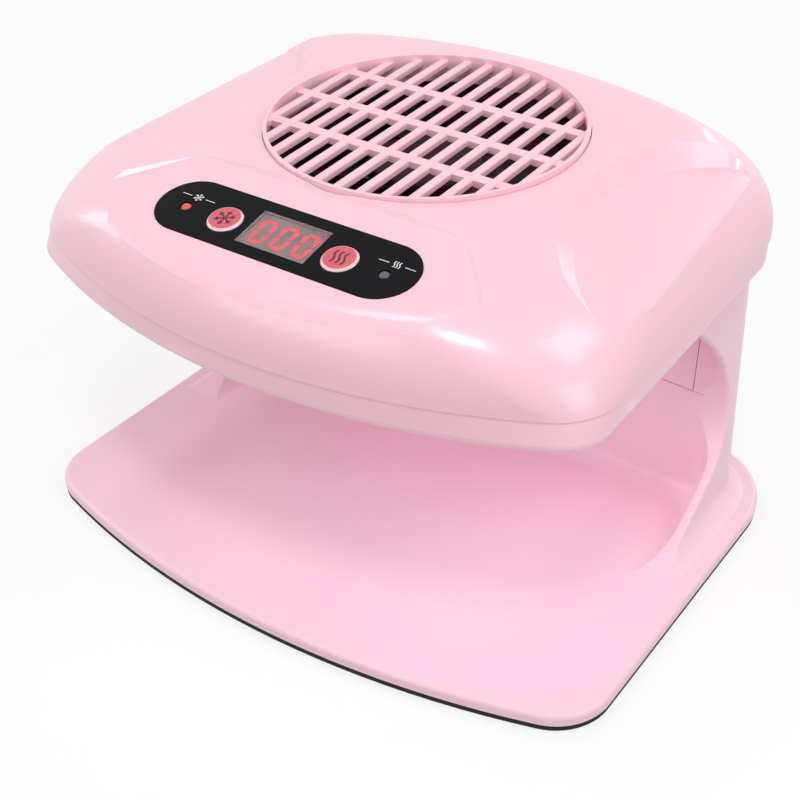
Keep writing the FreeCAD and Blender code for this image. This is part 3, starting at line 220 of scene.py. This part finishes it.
def metalMaterial(name, ownLook):
    look = {**plainMetal, **ownLook}
    material, tree, shader = newMaterial(name, {"Metallic": 1.0})
    metal = useGroup(tree, drawnMetal, {
        "Place": objectPlace(tree), "Colour": look["colour"], "Dark Colour": look["dark"],
        "Line Scale": look["lineScale"], "Roughness": look["rough"]})
    linkFinish(tree, shader, metal.outputs["Colour"], metal)
    addBump(tree, shader, metal.outputs["Height"], look["lines"])
    return material


def giveMaterial(material, *labels):
    for label in labels:
        slots = nodes[label].material_slots
        if not slots:
            nodes[label].data.materials.append(material)
        for slot in slots:
            slot.material = material


# finishes of the moulded and metal pieces
finishes = {
    "pinkShell": dict(colour=(0.950, 0.586, 0.682), drift=(0.940, 0.568, 0.664), driftScale=9.0, rough=0.29,
                      dull=0.03, dullScale=22.0, coat=0.26, coatRough=0.1, specular=0.46, skin=0.02,
                      skinScale=420.0),
    # base and column: the shell's pink plastic made paler, partly the real pink and partly painted light for
    # the lamp glow falling on the tray
    "pinkBasePaintedLight": dict(colour=(0.952, 0.655, 0.742), drift=(0.943, 0.640, 0.727), driftScale=7.0, rough=0.3,
                     dull=0.02, dullScale=22.0, coat=0.08, coatRough=0.12, specular=0.2, skin=0.02,
                     skinScale=420.0),
    "pinkInner": dict(colour=(0.90, 0.53, 0.62), drift=(0.88, 0.50, 0.60), rough=0.38, dull=0.05, skin=0.05),
    "pinkGrille": dict(colour=(0.945, 0.60, 0.69), drift=(0.93, 0.57, 0.665), driftScale=20.0, rough=0.34,
                       dull=0.04, skin=0.03, skinScale=600.0, coat=0.25, coatRough=0.15),
    "blackOverlay": dict(colour=(0.0050, 0.0054, 0.0064), drift=(0.0072, 0.0074, 0.0086), driftScale=40.0,
                         rough=0.42, dull=0.05, skin=0.05, skinScale=1400.0, specular=0.05),
    "blackPlate": dict(colour=(0.012, 0.010, 0.012), drift=(0.02, 0.018, 0.02), rough=0.6, dull=0.12,
                       skin=0.2, skinScale=1500.0, specular=0.2),
    "blackRubber": dict(colour=(0.012, 0.012, 0.012), drift=(0.02, 0.02, 0.02), rough=0.78, dull=0.12,
                        skin=0.3, skinScale=1800.0, specular=0.25),
    "fanBlack": dict(colour=(0.036, 0.012, 0.018), drift=(0.046, 0.018, 0.025), rough=0.45, dull=0.1,
                     skin=0.1, specular=0.22),
    "socketBlack": dict(colour=(0.013, 0.013, 0.014), drift=(0.022, 0.022, 0.023), rough=0.5, dull=0.1,
                        skin=0.25, skinScale=1400.0, specular=0.3),
    "caseBlack": dict(colour=(0.02, 0.02, 0.022), drift=(0.03, 0.03, 0.032), rough=0.4, dull=0.1, skin=0.15),
    "micaSheet": dict(colour=(0.45, 0.36, 0.2), drift=(0.62, 0.55, 0.4), driftScale=160.0, rough=0.5,
                      dull=0.3, dullScale=300.0, skin=0.4, skinScale=500.0),
    "maskWhite": dict(colour=(0.8, 0.8, 0.78), drift=(0.74, 0.74, 0.72), rough=0.35, dull=0.1, skin=0.1),
}
metals = {
    "motorSteel": dict(colour=(0.5, 0.5, 0.51), dark=(0.3, 0.3, 0.31), rough=0.34),
    "heatWire": dict(colour=(0.42, 0.4, 0.38), dark=(0.2, 0.18, 0.17), rough=0.38, lineScale=1800.0),
    "screwZinc": dict(colour=(0.62, 0.62, 0.6), dark=(0.4, 0.4, 0.38), rough=0.3, lineScale=1400.0),
    "pinPlate": dict(colour=(0.72, 0.62, 0.36), dark=(0.5, 0.42, 0.24), rough=0.28, lineScale=1600.0),
}
finishedNodes = {
    "pinkShell": ("upper_shell", "lower_shell"),
    "pinkBasePaintedLight": ("base_shell", "column_panel"),
    "pinkGrille": ("intake_grille", "outlet_grille"),
    "pinkInner": ("board_standoffs",),
    "blackOverlay": ("control_overlay",),
    "blackPlate": ("base_plate",),
    "blackRubber": ("foot_left_front", "foot_left_rear", "foot_right_front", "foot_right_rear"),
    "fanBlack": ("fan_frame", "fan_impeller"),
    "socketBlack": ("mains_inlet", "cold_switch", "hot_switch"),
    "caseBlack": ("power_components",),
    "micaSheet": ("heater_frame",),
    "maskWhite": ("lamp_board",),
    "motorSteel": ("fan_motor",),
    "heatWire": ("heater_coil",),
    "screwZinc": ("base_screws", "head_screws"),
    "pinPlate": ("inlet_pins",),
}

materials = {name: mouldedMaterial(name, look) for name, look in finishes.items()}
materials.update({name: metalMaterial(name, look) for name, look in metals.items()})
for name, labels in finishedNodes.items():
    giveMaterial(materials[name], *labels)
print("moulded and metal finishes placed")


# circuit boards: rows of tracks under a green mask, with sizes in metres
boardLook = dict(colour=(0.02, 0.16, 0.07), driftShare=1.2, track=(0.05, 0.26, 0.12), trackLength=0.011,
                 trackWidth=0.0022, trackGap=0.0005, litTrack=(1, 1, 1), dimTrack=(0.75, 0.75, 0.75),
                 gapShade=(0, 0, 0), maskFrom=0.2, maskTo=0.8, rough=0.3, coat=0.4, relief=0.3)


def boardMaterial():
    material, tree, shader = newMaterial("greenBoard", {"Coat Weight": boardLook["coat"]})
    tracks = tree.nodes.new("ShaderNodeTexBrick")
    feedAll(tree, tracks, {
        "Vector": objectPlace(tree), "Color1": boardLook["litTrack"], "Color2": boardLook["dimTrack"],
        "Mortar": boardLook["gapShade"], "Scale": 1.0, "Brick Width": boardLook["trackLength"],
        "Row Height": boardLook["trackWidth"], "Mortar Size": boardLook["trackGap"]})
    skin = addSkin(tree, {"colour": boardLook["colour"], "rough": boardLook["rough"],
                          "drift": [c * boardLook["driftShare"] for c in boardLook["colour"]]})
    mask = addRange(tree, tracks.outputs["Color"], boardLook["maskFrom"], boardLook["maskTo"])
    shown = mixColours(tree, mask, skin.outputs["Colour"], boardLook["track"])
    linkFinish(tree, shader, shown, skin)
    addBump(tree, shader, mask, boardLook["relief"])
    return material


# the transformer's core: a stack of steel sheets seen on edge
coreLook = dict(colour=(0.16, 0.15, 0.13), driftShare=1.3, driftScale=60.0, gap=(0.05, 0.045, 0.04),
                sheets=1100.0, wobble=0.4, lineFrom=0.1, lineTo=0.5, rough=0.42, metallic=0.6, relief=0.4,
                depth=0.0002)


def coreMaterial():
    material, tree, shader = newMaterial("laminatedCore", {"Metallic": coreLook["metallic"]})
    sheets = tree.nodes.new("ShaderNodeTexWave")
    sheets.bands_direction = "Y"
    feedAll(tree, sheets, {
        "Vector": objectPlace(tree), "Scale": coreLook["sheets"] / math.tau,
        "Distortion": coreLook["wobble"]})
    skin = addSkin(tree, {"colour": coreLook["colour"], "rough": coreLook["rough"],
                          "driftScale": coreLook["driftScale"],
                          "drift": [c * coreLook["driftShare"] for c in coreLook["colour"]]})
    line = addRange(tree, sheets.outputs["Fac"], coreLook["lineFrom"], coreLook["lineTo"])
    shown = mixColours(tree, line, coreLook["gap"], skin.outputs["Colour"])
    linkFinish(tree, shader, shown, skin)
    addBump(tree, shader, line, coreLook["relief"], coreLook["depth"])
    return material


giveMaterial(boardMaterial(), "control_board", "power_board")
giveMaterial(coreMaterial(), "transformer")
print("boards and transformer finished")


# the sloping control panel has its own frame, in metres
panel = dict(centre=(0, -0.074, 0.145), tilt=math.radians(12.65), overlayTop=0.0003, buttonTop=0.0009,
             displayTop=-0.0017, buttonAcross=0.02235, lampAcross=0.0386, controlDrop=0.0012)
panelFrame = Matrix.Translation(panel["centre"]) @ Matrix.Rotation(panel["tilt"], 4, "X")


def finishPiece(bm, name, body, material, place):
    bmesh.ops.transform(bm, matrix=place, verts=bm.verts)
    bmesh.ops.recalc_face_normals(bm, faces=bm.faces)
    mesh = bpy.data.meshes.new(name)
    bm.to_mesh(mesh)
    bm.free()
    piece = bpy.data.objects.new(name, mesh)
    bpy.context.scene.collection.objects.link(piece)
    mesh.materials.append(material)
    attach(piece, body)


# coral buttons with a pale rim
buttonLook = dict(colour=(0.68, 0.092, 0.132), drift=(0.65, 0.08, 0.118), driftScale=160.0, skinScale=1500.0,
                  dullScale=400.0, rough=0.3, rim=(0.93, 0.62, 0.66), rimWidth=0.0007, rimBlur=0.00008,
                  radius=0.00595, coat=0.25, coatRough=0.15, relief=0.08)


def buttonMaterial(name, side):
    material, tree, shader = newMaterial(name, {
        "Coat Weight": buttonLook["coat"], "Coat Roughness": buttonLook["coatRough"]})
    centre = panelFrame @ Vector((side * panel["buttonAcross"], -panel["controlDrop"], 0))
    shift = Matrix.Rotation(-panel["tilt"], 3, "X") @ -centre
    split = tree.nodes.new("ShaderNodeSeparateXYZ")
    tree.links.new(objectPlace(tree, location=shift, turn=(-panel["tilt"], 0, 0)), split.inputs[0])
    square = [addMath(tree, "MULTIPLY", split.outputs[axis], split.outputs[axis]) for axis in ("X", "Y")]
    away = addMath(tree, "SQRT", addMath(tree, "ADD", *square))
    edge = buttonLook["radius"] - buttonLook["rimWidth"]
    rim = addRange(tree, away, edge - buttonLook["rimBlur"], edge + buttonLook["rimBlur"])
    skin = addSkin(tree, buttonLook)
    shown = mixColours(tree, rim, skin.outputs["Colour"], buttonLook["rim"])
    linkFinish(tree, shader, shown, skin)
    addBump(tree, shader, skin.outputs["Height"], buttonLook["relief"])
    return material


giveMaterial(buttonMaterial("coldButtonCoral", -1), "cold_button")
giveMaterial(buttonMaterial("hotButtonCoral", 1), "hot_button")

# what every clear or lit plastic has
acrylic = dict(refraction=1.49, driftScale=300.0)


def litMaterial(name, ownLook):
    look = {**acrylic, **ownLook}
    material, tree, shader = newMaterial(name, {
        "Emission Strength": look["glow"], "IOR": look["refraction"]})
    skin = addSkin(tree, look)
    linkFinish(tree, shader, skin.outputs["Colour"], skin)
    tree.links.new(skin.outputs["Colour"], shader.inputs["Emission Color"])
    return material


# the display: a grey screen, red digits and a smoked window over both
screenLook = dict(colour=(0.30, 0.225, 0.235), drift=(0.40, 0.315, 0.325), driftScale=60.0, rough=0.5,
                  skin=0.1)
redLook = dict(colour=(0.86, 0.07, 0.085), drift=(0.78, 0.05, 0.065), rough=0.4, glow=0.45)
windowLook = dict(colour=(0.86, 0.8, 0.81), smearShade=0.94, smearScale=260, smearDetail=3, smearFrom=0.3,
                  smearTo=0.7, rough=0.05, smearRough=0.08)


def windowMaterial():
    material, tree, shader = newMaterial("smokedWindow", {
        "Transmission Weight": 1.0, "IOR": acrylic["refraction"]})
    smear = addNoise(tree, objectPlace(tree), windowLook["smearScale"], windowLook["smearDetail"])
    rough = addRange(tree, smear, windowLook["smearFrom"], windowLook["smearTo"], windowLook["rough"],
                     windowLook["rough"] + windowLook["smearRough"])
    smeared = [c * windowLook["smearShade"] for c in windowLook["colour"]]
    shown = mixColours(tree, smear, windowLook["colour"], smeared)
    feedAll(tree, shader, {"Base Color": shown, "Roughness": rough})
    return material


giveMaterial(mouldedMaterial("screenGrey", screenLook), "digit_display")
digitRed = litMaterial("digitRed", redLook)
giveMaterial(windowMaterial(), "display_window")

lampLooks = {
    "indicator_left": dict(colour=(0.72, 0.075, 0.055), drift=(0.8, 0.12, 0.09), rough=0.3, glow=0.03),
    "indicator_right": dict(colour=(0.085, 0.08, 0.09), drift=(0.12, 0.11, 0.125), rough=0.3, glow=0.0),
    "lamp_diodes": dict(colour=(0.80, 0.46, 1.0), drift=(0.86, 0.56, 1.0), rough=0.2, glow=1.4),
}
for label, look in lampLooks.items():
    giveMaterial(litMaterial(label + "Lens", look), label)
print("panel finishes placed")


# digits of the display: bars with pointed ends
digitLook = dict(height=0.0118, width=0.0062, stroke=0.0018, pitch=0.0083, gap=0.0002, thick=0.0001,
                 barSides=6, tipLength=0.55, tipSeat=0.4)


def addBar(bm, length, width, place):
    made = bmesh.ops.create_circle(bm, cap_ends=True, segments=digitLook["barSides"],
                                   radius=width / math.sqrt(3))
    for v in made["verts"]:
        end = math.copysign(length / 2 - width * digitLook["tipSeat"], v.co.x)
        v.co.x = v.co.x * digitLook["tipLength"] + end
    face = made["verts"][0].link_faces[0]
    raised = bmesh.ops.extrude_face_region(bm, geom=[face])
    verts = [g for g in raised["geom"] if isinstance(g, bmesh.types.BMVert)]
    bmesh.ops.translate(bm, verts=verts, vec=(0, 0, digitLook["thick"]))
    bmesh.ops.transform(bm, matrix=place, verts=list(made["verts"]) + verts)


def addZero(bm, across):
    stroke = digitLook["stroke"]
    halfWidth = (digitLook["width"] - stroke) / 2
    halfHeight = (digitLook["height"] - stroke) / 2
    flat = 2 * halfWidth - digitLook["gap"]
    upright = halfHeight - digitLook["gap"]
    quarter = Matrix.Rotation(math.pi / 2, 4, "Z")
    for up in (-halfHeight, halfHeight):
        addBar(bm, flat, stroke, Matrix.Translation((across, up, 0)))
    for side in (-halfWidth, halfWidth):
        for up in (-halfHeight / 2, halfHeight / 2):
            addBar(bm, upright, stroke, Matrix.Translation((across + side, up, 0)) @ quarter)


digits = bmesh.new()
for step in (-1, 0, 1):
    addZero(digits, step * digitLook["pitch"])
finishPiece(digits, "display_digits", "housing", digitRed,
            panelFrame @ Matrix.Translation((0, 0, panel["displayTop"])))
print("digits made")


# printed marks: a snow star, heat waves, and both again between dashes over the indicator lamps
markLook = dict(height=0.00006, sunkShare=0.3, line=0.0006, lampMarkSize=0.5, lampMarkUp=0.0052,
                lampMarkAcross=0.0012, dashFrom=0.0029, dashTo=0.0066)
starLook = dict(arms=6, firstArm=30, arm=0.0036, hub=0.0002, twig=0.0011, twigAt=0.58, twigAngle=50,
                twigLine=0.85)
waveLook = dict(height=0.0056, pitch=0.0019, sway=0.00055, steps=16, line=1.15)
inks = {
    "inkDark": dict(colour=(0.055, 0.007, 0.012), drift=(0.085, 0.014, 0.02), rough=0.45),
    "inkWhite": dict(colour=(0.78, 0.78, 0.8), drift=(0.7, 0.7, 0.72), rough=0.45),
}
materials.update({name: mouldedMaterial(name, look) for name, look in inks.items()})


# a stroke is a one metre strip, one face wide, laid along its points
def addStroke(bm, points, width):
    steps = len(points) - 1
    strip = bmesh.ops.create_grid(bm, x_segments=steps, y_segments=1, size=0.5)
    for v in strip["verts"]:
        index = round((v.co.x + 0.5) * steps)
        before = Vector(points[max(index - 1, 0)])
        after = Vector(points[min(index + 1, steps)])
        along = (after - before).normalized()
        across = Vector((-along.y, along.x)) * width * v.co.y
        v.co = (*(Vector(points[index]) + across), 0)


def raiseMark(bm, height):
    raised = bmesh.ops.extrude_face_region(bm, geom=list(bm.faces))
    verts = [g for g in raised["geom"] if isinstance(g, bmesh.types.BMVert)]
    bmesh.ops.translate(bm, verts=verts, vec=(0, 0, height))


def addDashes(bm, size):
    for side in (-1, 1):
        ends = [(side * markLook["dashFrom"], 0), (side * markLook["dashTo"], 0)]
        addStroke(bm, ends, markLook["line"] * size)


def pointing(angle):
    return Vector((math.cos(angle), math.sin(angle)))


def snowStar(bm, size):
    arm = starLook["arm"] * size
    for turn in range(starLook["arms"]):
        angle = math.radians(360 / starLook["arms"] * turn + starLook["firstArm"])
        out = pointing(angle)
        addStroke(bm, [out * starLook["hub"], out * arm], markLook["line"] * size)
        fork = out * arm * starLook["twigAt"]
        for side in (-1, 1):
            twig = pointing(angle + side * math.radians(starLook["twigAngle"])) * starLook["twig"] * size
            addStroke(bm, [fork, fork + twig], markLook["line"] * size * starLook["twigLine"])


def heatWaves(bm, size):
    for row in (-1, 0, 1):
        points = []
        for step in range(waveLook["steps"] + 1):
            share = step / waveLook["steps"]
            across = row * waveLook["pitch"] + waveLook["sway"] * math.sin(share * math.tau)
            points.append((across * size, (share - 0.5) * waveLook["height"] * size))
        addStroke(bm, points, markLook["line"] * size * waveLook["line"])


def addMark(name, draws, size, body, ink, across, up, level):
    bm = bmesh.new()
    for draw in draws:
        draw(bm, size)
    raiseMark(bm, markLook["height"])
    sunk = level - markLook["height"] * markLook["sunkShare"]
    finishPiece(bm, name, body, materials[ink],
                panelFrame @ Matrix.Translation((across, up, sunk)))


for side, word, draw in ((-1, "cold", snowStar), (1, "hot", heatWaves)):
    addMark(word + "_mark", [draw], 1.0, word + "_button", "inkDark",
            side * panel["buttonAcross"], -panel["controlDrop"], panel["buttonTop"])
    addMark(word + "_lamp_mark", [draw, addDashes], markLook["lampMarkSize"], "housing", "inkWhite",
            side * panel["lampAcross"] + markLook["lampMarkAcross"],
            markLook["lampMarkUp"] - panel["controlDrop"], panel["overlayTop"])
print("marks printed")


# the floor is pale where the lens sees it, darker as a bounce, and white far away
floorLook = dict(size=5.0, colour=(0.96, 0.96, 0.96), bounce=(0.5, 0.5, 0.5), rough=0.9, glow=0.74,
                 fadeFrom=0.3, fadeTo=1.0, speckScale=9, speckDetail=3, speckShade=0.985)


def lightPath(tree):
    path = tree.nodes.new("ShaderNodeLightPath")
    direct = path.outputs["Is Camera Ray"]
    mirrored = addMath(tree, "MAXIMUM", path.outputs["Is Glossy Ray"], path.outputs["Is Transmission Ray"])
    return direct, addMath(tree, "MAXIMUM", direct, mirrored)


def floorMaterial():
    material, tree, shader = newMaterial("paleFloor", {"Roughness": floorLook["rough"]})
    direct, seen = lightPath(tree)
    speck = addNoise(tree, objectPlace(tree), floorLook["speckScale"], floorLook["speckDetail"])
    speckled = [c * floorLook["speckShade"] for c in floorLook["colour"]]
    shown = mixColours(tree, speck, floorLook["colour"], speckled)
    tree.links.new(mixColours(tree, direct, floorLook["bounce"], shown), shader.inputs["Base Color"])
    away = tree.nodes.new("ShaderNodeVectorMath")
    away.operation = "LENGTH"
    tree.links.new(objectPlace(tree), away.inputs[0])
    fade = addRange(tree, away.outputs["Value"], floorLook["fadeFrom"], floorLook["fadeTo"],
                    floorLook["glow"])
    glow = tree.nodes.new("ShaderNodeEmission")
    mix = tree.nodes.new("ShaderNodeMixShader")
    feedAll(tree, mix, {
        "Fac": addMath(tree, "MULTIPLY", seen, fade), 1: shader.outputs["BSDF"],
        2: glow.outputs["Emission"]})
    tree.links.new(mix.outputs["Shader"], tree.nodes["Material Output"].inputs["Surface"])
    return material


def addFloor():
    bm = bmesh.new()
    bmesh.ops.create_grid(bm, x_segments=1, y_segments=1, size=floorLook["size"])
    mesh = bpy.data.meshes.new("floor")
    bm.to_mesh(mesh)
    bm.free()
    floor = bpy.data.objects.new("floor", mesh)
    bpy.context.scene.collection.objects.link(floor)
    mesh.materials.append(floorMaterial())


addFloor()

# a white backdrop for the lens and for reflections, which lights the dryer only at this level
worldLook = dict(colour=(1, 1, 1), level=0.39)


def addWorld():
    world = bpy.data.worlds.new("studioWorld")
    bpy.context.scene.world = world
    world.use_nodes = True
    tree = world.node_tree
    seen = lightPath(tree)[1]
    feedAll(tree, tree.nodes["Background"], {
        "Color": worldLook["colour"], "Strength": addRange(tree, seen, 0, 1, worldLook["level"])})


addWorld()

# softboxes round the dryer, and two hidden lamps for the light that its diodes throw on the tray
lamps = {
    "leftTopSoftbox": dict(place=(-0.36, 0.02, 1.14), aim=(0, 0, 0.12), size=(0.3, 0.18), power=1.45),
    "rightTopSoftbox": dict(place=(0.7, 0.1, 0.95), aim=(0, 0, 0.12), size=(0.36, 0.36), power=2.2),
    "frontTopSoftbox": dict(place=(0.3, -0.48, 1.05), aim=(0, 0, 0.12), size=(0.24, 0.2), power=2.9),
    "frontSoftbox": dict(place=(-0.4, -1.25, 0.42), aim=(0, 0, 0.06), size=(0.9, 0.4), power=2.9),
    "leftSoftbox": dict(place=(-1.2, -0.35, 0.45), aim=(0, 0, 0.08), size=(0.5, 0.5), power=2.9),
    "rightSoftbox": dict(place=(1.2, -0.25, 0.5), aim=(0, 0, 0.08), size=(0.5, 0.5), power=2.75),
    "rearSoftbox": dict(place=(0.1, 1.25, 0.6), aim=(0, 0, 0.08), size=(0.6, 0.4), power=2.6),
    "trayGlow": dict(place=(0.02, -0.05, 0.1), aim=(0.035, -0.085, 0.0), size=(0.17, 0.08), power=0.032,
                     colour=(0.78, 0.97, 0.95), spread=135, hidden=True),
    "diodeGlow": dict(place=(0.03, 0.0, 0.1), aim=(0.03, -0.02, 0.0), size=(0.09, 0.06), power=0.011,
                      colour=(0.82, 0.42, 1.0), hidden=True),
}
plainLamp = dict(colour=(1, 1, 1), spread=180, hidden=False)


def addLamp(name, ownLook):
    look = {**plainLamp, **ownLook}
    light = bpy.data.lights.new(name, "AREA")
    light.shape = "RECTANGLE"
    light.size, light.size_y = look["size"]
    light.energy = look["power"]
    light.color = look["colour"]
    light.spread = math.radians(look["spread"])
    lamp = bpy.data.objects.new(name, light)
    lamp.location = look["place"]
    lamp.visible_camera = not look["hidden"]
    lamp.visible_glossy = not look["hidden"]
    aimed = Vector(look["aim"]) - Vector(look["place"])
    lamp.rotation_euler = aimed.to_track_quat("-Z", "Y").to_euler()
    bpy.context.scene.collection.objects.link(lamp)


for name, look in lamps.items():
    addLamp(name, look)

# the camera stands at place, in metres, and looks along these angles, in degrees
camera = dict(place=(0.2543, -0.3831, 0.3577), azimuth=34.27, elevation=34.42, roll=0.347, lens=65.7,
              sensor=36, nearest=0.01)


def addCamera():
    turn, lift, roll = (math.radians(camera[k]) for k in ("azimuth", "elevation", "roll"))
    back = Vector((math.sin(turn) * math.cos(lift), -math.cos(turn) * math.cos(lift), math.sin(lift)))
    level = Vector((math.cos(turn), math.sin(turn), 0))
    rise = back.cross(level)
    right = level * math.cos(roll) + rise * math.sin(roll)
    up = -level * math.sin(roll) + rise * math.cos(roll)
    lens = bpy.data.cameras.new("viewCamera")
    lens.lens = camera["lens"]
    lens.sensor_width = camera["sensor"]
    lens.clip_start = camera["nearest"]
    eye = bpy.data.objects.new("viewCamera", lens)
    eye.matrix_world = Matrix.Translation(camera["place"]) @ Matrix((right, up, back)).transposed().to_4x4()
    bpy.context.scene.collection.objects.link(eye)
    bpy.context.scene.camera = eye


addCamera()
bpy.context.scene.view_settings.view_transform = "Standard"
print("studio ready")
